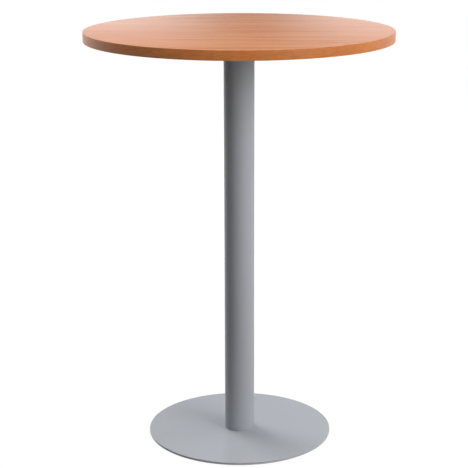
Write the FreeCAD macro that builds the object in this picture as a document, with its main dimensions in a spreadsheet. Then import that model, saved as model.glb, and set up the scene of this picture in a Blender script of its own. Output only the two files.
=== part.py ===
import FreeCAD, Part

# Round standing-height meeting table.
#
# A laminated board top with a glued edge band is screwed to a round steel mounting plate. The plate is
# bolted to the top of a steel tube column, and the column stands on a flat round steel base plate, which
# countersunk bolts hold from below. Discs welded into both ends of the tube take the bolts. The base
# plate rests on six plug-in plastic glides. Nothing on the table moves.
#
# Millimetres, +Z up, origin on the floor at the centre of the column.

import os
import re

import Sketcher

OUTPUT_FOLDER = "parts"

# Driving dimensions. Each one is a cell of the spreadsheet, under this name.
DIMENSIONS = {
    # whole table
    "table_height": 1100,
    # top board
    "top_diameter": 800,
    "top_thickness": 25,
    "laminate_thickness": 0.8,
    "band_thickness": 2,
    "band_edge_radius": 1,
    # threaded inserts in the board
    "insert_diameter": 12,
    "insert_length": 15,
    "insert_collar": 3,
    "insert_ridge_count": 4,
    "insert_ridge_depth": 1,
    "insert_slot_width": 1.6,
    "insert_slot_depth": 2.4,
    "insert_clearance": 0.1,
    "insert_hole_spare": 1,
    # mounting plate and its screws
    "plate_diameter": 300,
    "plate_thickness": 5,
    "plate_bevel": 0.6,
    "plate_screw_count": 8,
    "plate_screw_inset": 20,
    "plate_screw_diameter": 6,
    "plate_screw_length": 16,
    "plate_screw_head_diameter": 10.5,
    "plate_screw_head_height": 3.3,
    "plate_screw_head_radius": 2.2,
    "plate_screw_socket": 4,
    "plate_screw_socket_depth": 2,
    # column
    "column_diameter": 80,
    "column_wall": 2,
    "column_bevel": 0.3,
    "disc_recess": 3,
    "disc_clearance": 0.1,
    "upper_disc_thickness": 8,
    "lower_disc_thickness": 10,
    "weld_setback": 0.2,
    # countersunk bolts at both ends of the column
    "bolt_count": 4,
    "bolt_inset": 13,
    "bolt_diameter": 8,
    "bolt_head_diameter": 16,
    "bolt_head_rim": 0.4,
    "bolt_head_sink": 0.2,
    "bolt_seat_clearance": 0.1,
    "bolt_socket": 5,
    "bolt_socket_depth": 2.6,
    "upper_bolt_length": 16,
    "lower_bolt_length": 20,
    # base plate
    "base_diameter": 495,
    "base_thickness": 6,
    "base_edge_radius": 0.8,
    # glides
    "glide_count": 6,
    "glide_inset": 30,
    "glide_diameter": 25,
    "glide_height": 2,
    "glide_edge_radius": 0.6,
    "glide_stem_diameter": 8,
    "glide_stem_bevel": 0.5,
    "glide_hole_floor": 2,
    "glide_stem_spare": 0.5,
    # fits and features that several pieces share
    "vent_diameter": 12,
    "thread_clearance": 0.05,
    "screw_hole_clearance": 0.3,
    "stem_clearance": 0.05,
    "tip_bevel": 1,
}

# Where a ridge of a threaded insert starts to rise out of its groove, and where it is at its full
# height, as shares of the way from one ridge to the next.
RIDGE_FOOT = 0.5
RIDGE_CREST = 0.75

COUNTERSINK_ANGLE = 90
HEXAGON_ANGLE = 60
FULL_TURN = 360
SIZE_TOLERANCE = 1e-4

# Levels and radii that several pieces share, as formulas over the driving dimensions.
BASE_UNDERSIDE = "glide_height"
BASE_TOP = "(glide_height + base_thickness)"
BOARD_UNDERSIDE = "(table_height - top_thickness)"
PLATE_UNDERSIDE = "(table_height - top_thickness - plate_thickness)"
LOWER_DISC_FOOT = f"({BASE_TOP} + disc_recess)"
UPPER_DISC_TOP = f"({PLATE_UNDERSIDE} - disc_recess)"
BOARD_RADIUS = "(top_diameter / 2 - band_thickness)"
COLUMN_BORE = "(column_diameter / 2 - column_wall)"
DISC_RADIUS = f"({COLUMN_BORE} - disc_clearance)"
BOLT_CIRCLE = f"({COLUMN_BORE} - bolt_inset)"
SCREW_CIRCLE = "(plate_diameter / 2 - plate_screw_inset)"
GLIDE_CIRCLE = "(base_diameter / 2 - glide_inset)"
GLIDE_HOLE_DEPTH = "(base_thickness - glide_hole_floor)"

document = FreeCAD.newDocument("StandingTable")
sizes = document.addObject("Spreadsheet::Sheet", "Sizes")
bodies = []


def fill_spreadsheet():
    """Writes each driving dimension to a cell of its own, and names the cell."""
    for row, (name, size) in enumerate(DIMENSIONS.items(), 1):
        sizes.set(f"A{row}", name)
        sizes.set(f"B{row}", str(size))
        sizes.setAlias(f"B{row}", name)
    document.recompute()


def formula(text):
    """A formula over dimension names, with each name pointed at its cell."""
    return re.sub(r"\b[a-z]+(?:_[a-z]+)+\b", lambda name: f"Sizes.{name.group()}", text)


def value(text):
    """What a formula comes to now."""
    return float(sizes.evalExpression(formula(text)))


def bind(feature, property_name, text):
    """Ties a property of a feature to a formula."""
    feature.setExpression(property_name, formula(text))


# Helpers that make one kind of feature each.


def new_body(label):
    """An empty body, which becomes one sub-part under this label."""
    body = document.addObject("PartDesign::Body", "Body")
    body.Label = label
    bodies.append(body)
    return body


def origin_feature(body, role):
    """One of a body's own origin planes or axes."""
    return next(item for item in body.Origin.OriginFeatures if item.Role == role)


def new_sketch(body, plane, height="0"):
    """A sketch on one of the body's origin planes, raised along its normal."""
    sketch = body.newObject("Sketcher::SketchObject", "Sketch")
    sketch.AttachmentSupport = (origin_feature(body, plane), [""])
    sketch.MapMode = "FlatFace"
    bind(sketch, "AttachmentOffset.Base.z", height)
    return sketch


def pin_point(sketch, geometry, point, x, y, name):
    """Holds one point of a sketch at the place that two formulas give."""
    for kind, text in (("DistanceX", x), ("DistanceY", y)):
        constraint = Sketcher.Constraint(kind, -1, 1, geometry, point, value(text))
        index = sketch.addConstraint(constraint)
        label = f"{name}_{kind[-1].lower()}"
        sketch.renameConstraint(index, label)
        bind(sketch, f"Constraints.{label}", text)


def draw_circle(sketch, radius, x="0", y="0"):
    """A circle with its radius and centre given by formulas."""
    centre = FreeCAD.Vector(value(x), value(y), 0)
    circle = Part.Circle(centre, FreeCAD.Vector(0, 0, 1), value(radius))
    geometry = sketch.addGeometry(circle, False)
    index = sketch.addConstraint(Sketcher.Constraint("Radius", geometry, value(radius)))
    label = f"radius_{geometry}"
    sketch.renameConstraint(index, label)
    bind(sketch, f"Constraints.{label}", radius)
    pin_point(sketch, geometry, 3, x, y, f"centre_{geometry}")


def draw_outline(sketch, corners):
    """A closed outline of straight lines. Each corner is a pair of formulas."""
    places = [FreeCAD.Vector(value(x), value(y), 0) for x, y in corners]
    count = len(places)
    for i in range(count):
        line = Part.LineSegment(places[i], places[(i + 1) % count])
        sketch.addGeometry(line, False)
    for i in range(count):
        following = (i + 1) % count
        sketch.addConstraint(Sketcher.Constraint("Coincident", i, 2, following, 1))
    for i, (x, y) in enumerate(corners):
        pin_point(sketch, i, 1, x, y, f"corner_{i}")


def hexagon(across_flats):
    """The corners of a hexagon about the origin, as formulas."""
    reach = f"{across_flats} / sqrt(3)"
    angles = range(0, FULL_TURN, HEXAGON_ANGLE)
    return [(f"{reach} * cos({angle})", f"{reach} * sin({angle})") for angle in angles]


def pad(body, sketch, length):
    """Raises a sketch along its normal."""
    feature = body.newObject("PartDesign::Pad", "Pad")
    feature.Profile = sketch
    bind(feature, "Length", length)
    document.recompute()
    return feature


def revolve(body, corners):
    """Turns an outline in the XZ plane, given as radius and height, a full turn about Z."""
    sketch = new_sketch(body, "XZ_Plane")
    draw_outline(sketch, corners)
    feature = body.newObject("PartDesign::Revolution", "Revolution")
    feature.Profile = sketch
    feature.ReferenceAxis = (sketch, ["V_Axis"])
    feature.Angle = FULL_TURN
    document.recompute()
    return feature


def check_removed(body, volume_before, feature):
    """Stops the build if a cut has taken nothing away, as when it points out of the solid."""
    if not feature.Shape.Volume < volume_before - SIZE_TOLERANCE:
        raise RuntimeError(f"{feature.Name} of {body.Label} removes nothing")


def pocket(body, sketch, depth=None, upwards=False):
    """Cuts a sketch into the body, to a depth or all the way through."""
    volume_before = body.Shape.Volume
    feature = body.newObject("PartDesign::Pocket", "Pocket")
    feature.Profile = sketch
    feature.Reversed = upwards
    if depth is None:
        feature.Type = "ThroughAll"
    else:
        bind(feature, "Length", depth)
    document.recompute()
    check_removed(body, volume_before, feature)
    return feature


def countersunk_hole(body, sketch, upwards):
    """A clearance hole for a bolt, with a seat for its countersunk head where the sketch lies."""
    volume_before = body.Shape.Volume
    feature = body.newObject("PartDesign::Hole", "Hole")
    feature.Profile = sketch
    feature.Reversed = upwards
    document.recompute()
    feature.DepthType = "ThroughAll"
    feature.HoleCutType = "Countersink"
    feature.HoleCutCustomValues = True
    feature.HoleCutCountersinkAngle = COUNTERSINK_ANGLE
    bind(feature, "Diameter", "bolt_diameter + 2 * screw_hole_clearance")
    seat = "bolt_head_diameter + 2 * (bolt_head_rim + bolt_head_sink + bolt_seat_clearance)"
    bind(feature, "HoleCutDiameter", seat)
    document.recompute()
    check_removed(body, volume_before, feature)
    return feature


def repeat_round(body, feature, count):
    """Repeats a feature evenly about the Z axis."""
    pattern = body.newObject("PartDesign::PolarPattern", "PolarPattern")
    pattern.Originals = [feature]
    pattern.Axis = (origin_feature(body, "Z_Axis"), [""])
    pattern.Angle = FULL_TURN
    bind(pattern, "Occurrences", count)
    body.Tip = pattern
    document.recompute()
    return pattern


def round_edges(feature, rings):
    """Names of the circular edges of a feature at the given pairs of radius and height."""
    wanted = [(value(radius), value(height)) for radius, height in rings]
    names = []
    for number, edge in enumerate(feature.Shape.Edges, 1):
        if not isinstance(edge.Curve, Part.Circle):
            continue
        radius, height = edge.Curve.Radius, edge.Curve.Center.z
        near = [
            abs(radius - r) < SIZE_TOLERANCE and abs(height - z) < SIZE_TOLERANCE
            for r, z in wanted
        ]
        if any(near):
            names.append(f"Edge{number}")
    if not names:
        raise RuntimeError(f"{feature.Name} has no edge at {wanted}")
    return names


def fillet(body, feature, rings, radius):
    """Rounds the circular edges of a feature at the given radii and heights."""
    rounding = body.newObject("PartDesign::Fillet", "Fillet")
    rounding.Base = (feature, round_edges(feature, rings))
    bind(rounding, "Radius", radius)
    document.recompute()
    return rounding


def chamfer(body, feature, rings, size):
    """Bevels the circular edges of a feature at the given radii and heights."""
    bevel = body.newObject("PartDesign::Chamfer", "Chamfer")
    bevel.Base = (feature, round_edges(feature, rings))
    bind(bevel, "Size", size)
    document.recompute()
    return bevel


def place(body, radius, height, turn=0, flipped=False):
    """Puts a body on a circle about the Z axis, at a height and an angle, upside down if flipped."""
    if flipped:
        body.Placement.Rotation = FreeCAD.Rotation(FreeCAD.Vector(1, 0, 0), FULL_TURN / 2)
    bind(body, "Placement.Base.x", f"{radius} * cos({turn})")
    bind(body, "Placement.Base.y", f"{radius} * sin({turn})")
    bind(body, "Placement.Base.z", height)


def turns(count):
    """The angles of a number of things set evenly round a circle, with their numbers from 1."""
    total = int(value(count))
    return [(number + 1, FULL_TURN * number / total) for number in range(total)]


# The top: board, two laminates, edge band.


def drill_insert_holes(body, level, depth=None):
    """Cuts the round holes that the threaded inserts sit in, upwards from a level."""
    sketch = new_sketch(body, "XY_Plane", level)
    draw_circle(sketch, "insert_diameter / 2 + insert_clearance", x=SCREW_CIRCLE)
    hole = pocket(body, sketch, depth, upwards=True)
    repeat_round(body, hole, "plate_screw_count")


def build_board():
    """Particle board core, drilled from below for the inserts."""
    underside = f"({BOARD_UNDERSIDE} + laminate_thickness)"
    body = new_body("top_board")
    sketch = new_sketch(body, "XY_Plane", underside)
    draw_circle(sketch, BOARD_RADIUS)
    pad(body, sketch, "top_thickness - 2 * laminate_thickness")
    drill_insert_holes(body, underside, "insert_length + insert_hole_spare - laminate_thickness")


def build_laminate(label, underside):
    """One decorative sheet, as wide as the board."""
    body = new_body(label)
    sketch = new_sketch(body, "XY_Plane", underside)
    draw_circle(sketch, BOARD_RADIUS)
    pad(body, sketch, "laminate_thickness")
    return body


def build_edge_band():
    """The strip glued round the board and both laminates, with its outer edges eased."""
    body = new_body("edge_band")
    sketch = new_sketch(body, "XY_Plane", BOARD_UNDERSIDE)
    draw_circle(sketch, "top_diameter / 2")
    draw_circle(sketch, BOARD_RADIUS)
    strip = pad(body, sketch, "top_thickness")
    rings = [("top_diameter / 2", BOARD_UNDERSIDE), ("top_diameter / 2", "table_height")]
    fillet(body, strip, rings, "band_edge_radius")


def build_insert(label, turn):
    """A slotted insert with a ridged outside and a bore for the screw."""
    bore = "(plate_screw_diameter / 2 + thread_clearance)"
    crest = "(insert_diameter / 2)"
    groove = "(insert_diameter / 2 - insert_ridge_depth)"
    pitch = "((insert_length - insert_collar) / insert_ridge_count)"
    corners = [(bore, "0"), (crest, "0"), (crest, "insert_collar")]
    for number in range(int(value("insert_ridge_count"))):
        corners += [
            (groove, f"insert_collar + {number} * {pitch}"),
            (groove, f"insert_collar + ({number} + {RIDGE_FOOT}) * {pitch}"),
            (crest, f"insert_collar + ({number} + {RIDGE_CREST}) * {pitch}"),
            (crest, f"insert_collar + ({number} + 1) * {pitch}"),
        ]
    corners.append((bore, "insert_length"))
    body = new_body(label)
    revolve(body, corners)
    slot = new_sketch(body, "XY_Plane")
    x, y = "insert_diameter", "insert_slot_width / 2"
    draw_outline(slot, [(f"-{x}", f"-{y}"), (x, f"-{y}"), (x, y), (f"-{x}", y)])
    pocket(body, slot, "insert_slot_depth", upwards=True)
    place(body, SCREW_CIRCLE, BOARD_UNDERSIDE, turn)


def build_top():
    """The whole top, with its inserts."""
    build_board()
    build_laminate("top_laminate", "table_height - laminate_thickness")
    underside = build_laminate("underside_laminate", BOARD_UNDERSIDE)
    drill_insert_holes(underside, BOARD_UNDERSIDE)
    build_edge_band()
    for number, turn in turns("plate_screw_count"):
        build_insert(f"board_insert_{number}", turn)


# The mounting plate under the top, and the screws that hold it to the board.


def build_mounting_plate():
    """Round plate with a ring of screw holes, four countersunk bolt holes and a centre vent."""
    body = new_body("mounting_plate")
    sketch = new_sketch(body, "XY_Plane", PLATE_UNDERSIDE)
    draw_circle(sketch, "plate_diameter / 2")
    draw_circle(sketch, "vent_diameter / 2")
    blank = pad(body, sketch, "plate_thickness")
    rings = [("plate_diameter / 2", PLATE_UNDERSIDE), ("plate_diameter / 2", BOARD_UNDERSIDE)]
    chamfer(body, blank, rings, "plate_bevel")
    screw_sketch = new_sketch(body, "XY_Plane", BOARD_UNDERSIDE)
    draw_circle(screw_sketch, "plate_screw_diameter / 2 + screw_hole_clearance", x=SCREW_CIRCLE)
    screw_hole = pocket(body, screw_sketch)
    repeat_round(body, screw_hole, "plate_screw_count")
    bolt_sketch = new_sketch(body, "XY_Plane", BOARD_UNDERSIDE)
    draw_circle(bolt_sketch, "bolt_diameter / 2", x=BOLT_CIRCLE)
    bolt_hole = countersunk_hole(body, bolt_sketch, upwards=False)
    repeat_round(body, bolt_hole, "bolt_count")


def build_plate_screw(label, turn):
    """Button head screw, pointing up through the plate into its insert."""
    shank, head = "plate_screw_diameter / 2", "plate_screw_head_diameter / 2"
    crown = "-plate_screw_head_height"
    body = new_body(label)
    blank = revolve(
        body,
        [
            ("0", crown),
            (head, crown),
            (head, "0"),
            (shank, "0"),
            (shank, "plate_screw_length - tip_bevel"),
            (f"{shank} - tip_bevel", "plate_screw_length"),
            ("0", "plate_screw_length"),
        ],
    )
    fillet(body, blank, [(head, crown)], "plate_screw_head_radius")
    socket = new_sketch(body, "XY_Plane", crown)
    draw_outline(socket, hexagon("plate_screw_socket"))
    pocket(body, socket, "plate_screw_socket_depth", upwards=True)
    place(body, SCREW_CIRCLE, PLATE_UNDERSIDE, turn)


def build_mounting():
    """The mounting plate and its screws."""
    build_mounting_plate()
    for number, turn in turns("plate_screw_count"):
        build_plate_screw(f"plate_screw_{number}", turn)


# The column: tube, end discs, weld beads and bolts.


def build_countersunk_bolt(label, length, height, turn, flipped=False):
    """Countersunk socket bolt with the flat of its head at the given height."""
    shank, head = "bolt_diameter / 2", "bolt_head_diameter / 2"
    body = new_body(label)
    revolve(
        body,
        [
            ("0", "0"),
            (head, "0"),
            (head, "bolt_head_rim"),
            (shank, f"bolt_head_rim + {head} - {shank}"),
            (shank, f"{length} - tip_bevel"),
            (f"{shank} - tip_bevel", length),
            ("0", length),
        ],
    )
    socket = new_sketch(body, "XY_Plane")
    draw_outline(socket, hexagon("bolt_socket"))
    pocket(body, socket, "bolt_socket_depth", upwards=True)
    place(body, BOLT_CIRCLE, height, turn, flipped)


def build_column_tube():
    """The tube, with its outer end edges taken off."""
    outer, foot, head = "column_diameter / 2", BASE_TOP, PLATE_UNDERSIDE
    body = new_body("column_tube")
    revolve(
        body,
        [
            (COLUMN_BORE, foot),
            (f"{outer} - column_bevel", foot),
            (outer, f"{foot} + column_bevel"),
            (outer, f"{head} - column_bevel"),
            (f"{outer} - column_bevel", head),
            (COLUMN_BORE, head),
        ],
    )


def build_end_disc(label, foot, thickness):
    """A disc inside one end of the tube, with tapped holes for the bolts and a centre vent."""
    body = new_body(label)
    sketch = new_sketch(body, "XY_Plane", foot)
    draw_circle(sketch, DISC_RADIUS)
    draw_circle(sketch, "vent_diameter / 2")
    pad(body, sketch, thickness)
    tapped = new_sketch(body, "XY_Plane", foot)
    draw_circle(tapped, "bolt_diameter / 2 + thread_clearance", x=BOLT_CIRCLE)
    hole = pocket(body, tapped, upwards=True)
    repeat_round(body, hole, "bolt_count")


def build_weld_bead(label, disc_face, outward):
    """The bead in the corner between an end disc and the tube. outward is + or -, away from the disc."""
    leg = "(disc_recess - weld_setback)"
    body = new_body(label)
    revolve(
        body,
        [
            (COLUMN_BORE, disc_face),
            (f"{COLUMN_BORE} - {leg}", disc_face),
            (COLUMN_BORE, f"{disc_face} {outward} {leg}"),
        ],
    )


def build_column():
    """The welded column, and the bolts that hold it to the mounting plate and the base plate."""
    build_column_tube()
    upper_foot = f"({UPPER_DISC_TOP} - upper_disc_thickness)"
    build_end_disc("upper_end_disc", upper_foot, "upper_disc_thickness")
    build_weld_bead("upper_weld_bead", UPPER_DISC_TOP, "+")
    build_end_disc("lower_end_disc", LOWER_DISC_FOOT, "lower_disc_thickness")
    build_weld_bead("lower_weld_bead", LOWER_DISC_FOOT, "-")
    upper_head = f"{BOARD_UNDERSIDE} - bolt_head_sink"
    lower_head = f"{BASE_UNDERSIDE} + bolt_head_sink"
    for number, turn in turns("bolt_count"):
        build_countersunk_bolt(
            f"plate_bolt_{number}", "upper_bolt_length", upper_head, turn, flipped=True
        )
        build_countersunk_bolt(f"base_bolt_{number}", "lower_bolt_length", lower_head, turn)


# The base: plate and glides.


def build_base_plate():
    """Flat round plate with countersunk bolt holes and blind holes for the glides underneath."""
    body = new_body("base_plate")
    sketch = new_sketch(body, "XY_Plane", BASE_UNDERSIDE)
    draw_circle(sketch, "base_diameter / 2")
    blank = pad(body, sketch, "base_thickness")
    rings = [("base_diameter / 2", BASE_UNDERSIDE), ("base_diameter / 2", BASE_TOP)]
    fillet(body, blank, rings, "base_edge_radius")
    bolt_sketch = new_sketch(body, "XY_Plane", BASE_UNDERSIDE)
    draw_circle(bolt_sketch, "bolt_diameter / 2", x=BOLT_CIRCLE)
    bolt_hole = countersunk_hole(body, bolt_sketch, upwards=True)
    repeat_round(body, bolt_hole, "bolt_count")
    glide_sketch = new_sketch(body, "XY_Plane", BASE_UNDERSIDE)
    draw_circle(glide_sketch, "glide_stem_diameter / 2 + stem_clearance", x=GLIDE_CIRCLE)
    glide_hole = pocket(body, glide_sketch, GLIDE_HOLE_DEPTH, upwards=True)
    repeat_round(body, glide_hole, "glide_count")


def build_glide(label, turn):
    """A plastic foot pad with a stem that plugs into the base plate."""
    rim, stem = "glide_diameter / 2", "glide_stem_diameter / 2"
    stem_top = f"(glide_height + {GLIDE_HOLE_DEPTH} - glide_stem_spare)"
    body = new_body(label)
    blank = revolve(
        body,
        [
            ("0", "0"),
            (rim, "0"),
            (rim, "glide_height"),
            (stem, "glide_height"),
            (stem, f"{stem_top} - glide_stem_bevel"),
            (f"{stem} - glide_stem_bevel", stem_top),
            ("0", stem_top),
        ],
    )
    fillet(body, blank, [(rim, "0")], "glide_edge_radius")
    place(body, GLIDE_CIRCLE, "0", turn)


def build_base():
    """The base plate on its glides."""
    build_base_plate()
    for number, turn in turns("glide_count"):
        build_glide(f"floor_glide_{number}", turn)


def check_document():
    """Stops the build if any object has failed or any sub-part isn't one valid solid."""
    for item in document.Objects:
        if {"Invalid", "Error"} & set(item.State):
            raise RuntimeError(f"{item.Label} failed: {item.State}")
    for body in bodies:
        shape = body.Shape
        if shape.isNull() or not shape.isValid() or len(shape.Solids) != 1:
            raise RuntimeError(f"{body.Label} is not one valid solid")


def export_parts():
    """Writes each sub-part to a STEP file named after it."""
    os.makedirs(OUTPUT_FOLDER, exist_ok=True)
    for body in bodies:
        body.Shape.exportStep(os.path.join(OUTPUT_FOLDER, f"{body.Label}.step"))
        volume, box = body.Shape.Volume, body.Shape.BoundBox
        print(f"{body.Label:22} {volume:14.1f} mm3   z {box.ZMin:8.2f} to {box.ZMax:8.2f}")


fill_spreadsheet()
build_top()
build_mounting()
build_column()
build_base()
document.recompute()
check_document()
export_parts()
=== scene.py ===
# %% [markdown]
# # A round standing table, dressed in Blender
#
# A laminated wooden top with a wood-look edge strip stands on a silver steel tube and a flat round steel
# base. The sizes come from a CAD model that is loaded first and never changed. This lesson adds the shapes
# that a maker's eye looks for at the edges, gives every piece its finish, and lights the table.

# %% Load the CAD frame
import math

import bmesh
import bpy
from mathutils import Matrix, Vector


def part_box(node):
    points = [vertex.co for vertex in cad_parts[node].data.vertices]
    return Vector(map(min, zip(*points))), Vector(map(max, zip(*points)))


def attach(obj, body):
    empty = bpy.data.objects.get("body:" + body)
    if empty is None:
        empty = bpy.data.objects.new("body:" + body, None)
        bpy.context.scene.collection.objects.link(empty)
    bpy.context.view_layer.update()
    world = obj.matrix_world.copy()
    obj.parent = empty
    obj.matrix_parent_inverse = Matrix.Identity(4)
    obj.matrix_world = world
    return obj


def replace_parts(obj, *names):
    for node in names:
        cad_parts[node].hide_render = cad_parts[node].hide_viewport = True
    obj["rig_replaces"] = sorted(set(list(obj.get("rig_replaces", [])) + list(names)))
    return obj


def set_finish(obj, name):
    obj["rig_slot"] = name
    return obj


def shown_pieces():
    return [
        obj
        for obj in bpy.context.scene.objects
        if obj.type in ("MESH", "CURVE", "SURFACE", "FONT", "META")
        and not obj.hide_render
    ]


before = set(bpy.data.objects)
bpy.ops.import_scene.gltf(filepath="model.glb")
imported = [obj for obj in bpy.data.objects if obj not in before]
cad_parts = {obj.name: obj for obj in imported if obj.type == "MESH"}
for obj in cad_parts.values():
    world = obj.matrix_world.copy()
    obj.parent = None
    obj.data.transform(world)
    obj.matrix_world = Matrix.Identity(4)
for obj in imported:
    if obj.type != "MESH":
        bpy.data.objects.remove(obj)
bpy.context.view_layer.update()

# %% [markdown]
# ## The camera
#
# A table this tall is usually shown from a little above its own top, so that the top reads as a thin
# ellipse and the base as a wider one. A long lens keeps the column straight. The camera could be aimed
# with a Track To constraint, but four plain numbers (turn, tilt, roll and place) are easier to reason
# about, and they are put together here in the order in which a tripod head moves. A camera starts out
# looking straight down, so a quarter turn brings it level before it tilts.

# %% Camera
CAMERA_PLACE = Vector((0.0, -3.6025, 1.5234))
CAMERA_TURN = math.radians(0.226)
CAMERA_TILT = math.radians(15.013)
CAMERA_ROLL = math.radians(-0.146)
QUARTER_TURN = math.radians(90)
LENS = 107.65
SENSOR = 36.0
FAR_CLIP = 100.0


def make_camera():
    """The camera on its tripod, in front of the table."""
    data = bpy.data.cameras.new("camera")
    data.sensor_width = SENSOR
    data.lens = LENS
    data.clip_end = FAR_CLIP
    camera = bpy.data.objects.new("camera", data)
    bpy.context.scene.collection.objects.link(camera)
    turn = Matrix.Rotation(CAMERA_TURN, 4, "Z")
    tilt = Matrix.Rotation(QUARTER_TURN - CAMERA_TILT, 4, "X")
    roll = Matrix.Rotation(CAMERA_ROLL, 4, "Z")
    camera.matrix_world = Matrix.Translation(CAMERA_PLACE) @ turn @ tilt @ roll
    bpy.context.scene.camera = camera


make_camera()
print("camera to the table's foot:", round(CAMERA_PLACE.length, 2), "m, lens", LENS, "mm")

# %% [markdown]
# ## Helpers for modelling by hand
#
# Every piece below is made the way a person makes it at the screen: add a primitive, go into edit mode,
# select some faces or edges, and extrude, inset or bevel them. An operator works on whatever is selected,
# so each piece starts with nothing selected. A modifier is set by name and applied at once, so that the
# next step works on the shape that it leaves.

# %% Helpers: edit mode and modifiers


def clear_selection():
    """Leaves edit mode and deselects everything."""
    if bpy.context.mode != "OBJECT":
        bpy.ops.object.mode_set(mode="OBJECT")
    bpy.ops.object.select_all(action="DESELECT")


def start_editing():
    """Goes into edit mode on the active piece, with nothing selected."""
    bpy.ops.object.mode_set(mode="EDIT")
    bpy.ops.mesh.select_all(action="DESELECT")


def extrude_up(height):
    """Extrudes the selected faces straight up."""
    bpy.ops.mesh.extrude_region_move(TRANSFORM_OT_translate={"value": (0, 0, height)})


def apply_modifier(kind, **settings):
    """Adds a modifier to the active piece, sets it and applies it."""
    modifier = bpy.context.object.modifiers.new(kind.title(), kind)
    for name, setting in settings.items():
        setattr(modifier, name, setting)
    bpy.ops.object.modifier_apply(modifier=modifier.name)


# %% [markdown]
# ## Picking faces and edges by place
#
# At the screen a face is clicked. A script could pick it by its number, but the numbers change with every
# bevel. Its height or the way it faces says which one is meant and still holds when a size changes, so
# that is what these helpers look at.

# %% Helpers: picking
CLOSE = 1e-5
FACING = 0.99


def pick(mode, test):
    """Selects the vertices, edges or faces of the edited mesh that pass a test, and nothing else."""
    bpy.ops.mesh.select_mode(type=mode)
    bpy.ops.mesh.select_all(action="DESELECT")
    mesh = bmesh.from_edit_mesh(bpy.context.object.data)
    parts = {"VERT": mesh.verts, "EDGE": mesh.edges, "FACE": mesh.faces}[mode]
    for part in parts:
        if test(part):
            part.select_set(True)
    mesh.select_flush_mode()
    bmesh.update_edit_mesh(bpy.context.object.data)


def at_level(edge, level):
    """True if both ends of an edge are at this height."""
    return all(abs(vertex.co.z - level) < CLOSE for vertex in edge.verts)


def faces_up(face):
    """True if a face looks straight up."""
    return face.normal.z > FACING


def faces_down(face):
    """True if a face looks straight down."""
    return face.normal.z < -FACING


print("heights count as equal within", CLOSE * 1000, "mm")

# %% [markdown]
# ## Settling a finished piece
#
# A piece ends with its object at the origin, unturned and unscaled, and with its place in its mesh, because
# a pattern on Object coordinates would otherwise slide or turn. Smoothing every face would blur the flat
# ones, so only edges that turn by less than 40 degrees are smoothed. Each piece rides on the CAD model's
# one body, names the material slot that it takes its finish from, and says which CAD pieces it stands for.

# %% Helper: settling a piece
SMOOTH_UNDER = math.radians(40)


def finish_piece(name, slot, *nodes):
    """Settles the active piece: its place goes into its mesh, and it stands for its CAD nodes."""
    if bpy.context.mode != "OBJECT":
        bpy.ops.object.mode_set(mode="OBJECT")
    bpy.ops.object.transform_apply(location=True, rotation=True, scale=True)
    bpy.ops.object.shade_smooth_by_angle(angle=SMOOTH_UNDER)
    piece = bpy.context.object
    piece.name = name
    piece.data.name = name
    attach(piece, "root")
    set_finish(piece, slot)
    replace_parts(piece, *nodes)
    triangles = sum(len(face.vertices) - 2 for face in piece.data.polygons)
    print(name, "has", triangles, "triangles")
    return piece


# %% [markdown]
# ## The laminate on the top
#
# The top face is a thin sheet of decorative laminate. It is glued to the board and trimmed flush with the
# edge strip, and the trimming cutter leaves a hair-fine bevel on its rim. A flat disc would do from far
# away. Here the disc gets its real thickness, that bevel, and a narrow ring of faces inside the rim, so
# that the smooth shading of the bevel can't spread over the flat face.

# %% Top laminate
ROUND_STEPS = 256
TRIM_BEVEL = 0.00015
RIM_RING = 0.001

laminate_low, laminate_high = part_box("top_laminate")
laminate_radius = laminate_high.x


def make_top_laminate():
    """A disc of laminate with a trimmed rim."""
    clear_selection()
    bpy.ops.mesh.primitive_circle_add(
        vertices=ROUND_STEPS, radius=laminate_radius, fill_type="NGON",
        location=(0, 0, laminate_low.z))
    start_editing()
    bpy.ops.mesh.select_all(action="SELECT")
    rise = laminate_high.z - laminate_low.z
    extrude_up(rise)
    bpy.ops.mesh.select_all(action="SELECT")
    bpy.ops.mesh.normals_make_consistent(inside=False)
    pick("EDGE", lambda edge: at_level(edge, rise))
    bpy.ops.mesh.bevel(offset=TRIM_BEVEL, segments=1, affect="EDGES")
    pick("FACE", faces_up)
    bpy.ops.mesh.inset(thickness=RIM_RING)
    return finish_piece("beech_top", "beech_laminate", "top_laminate")


make_top_laminate()

# %% [markdown]
# ## The edge strip
#
# The edge of the board is covered by one long strip, 2 mm thick, bent round and glued. Its two long
# corners are rounded by a cutter, and its ends meet in a butt joint at the back, where nobody stands. The
# section of the strip is drawn once as a small plane standing on edge. Its corners are bevelled, and it is
# spun round the table. The turn stops a hair short of a full one, which leaves the butt joint.

# %% Edge strip: shape
CORNER_RADIUS = 0.001
CORNER_STEPS = 5
GLUE_BEVEL = 0.00015
JOINT_GAP = 0.00015
MERGE_UNDER = 1e-6

band_low, band_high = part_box("edge_band")
band_outer = band_high.x
band_inner = laminate_radius
band_height = band_high.z - band_low.z
joint_turn = JOINT_GAP / band_outer


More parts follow.
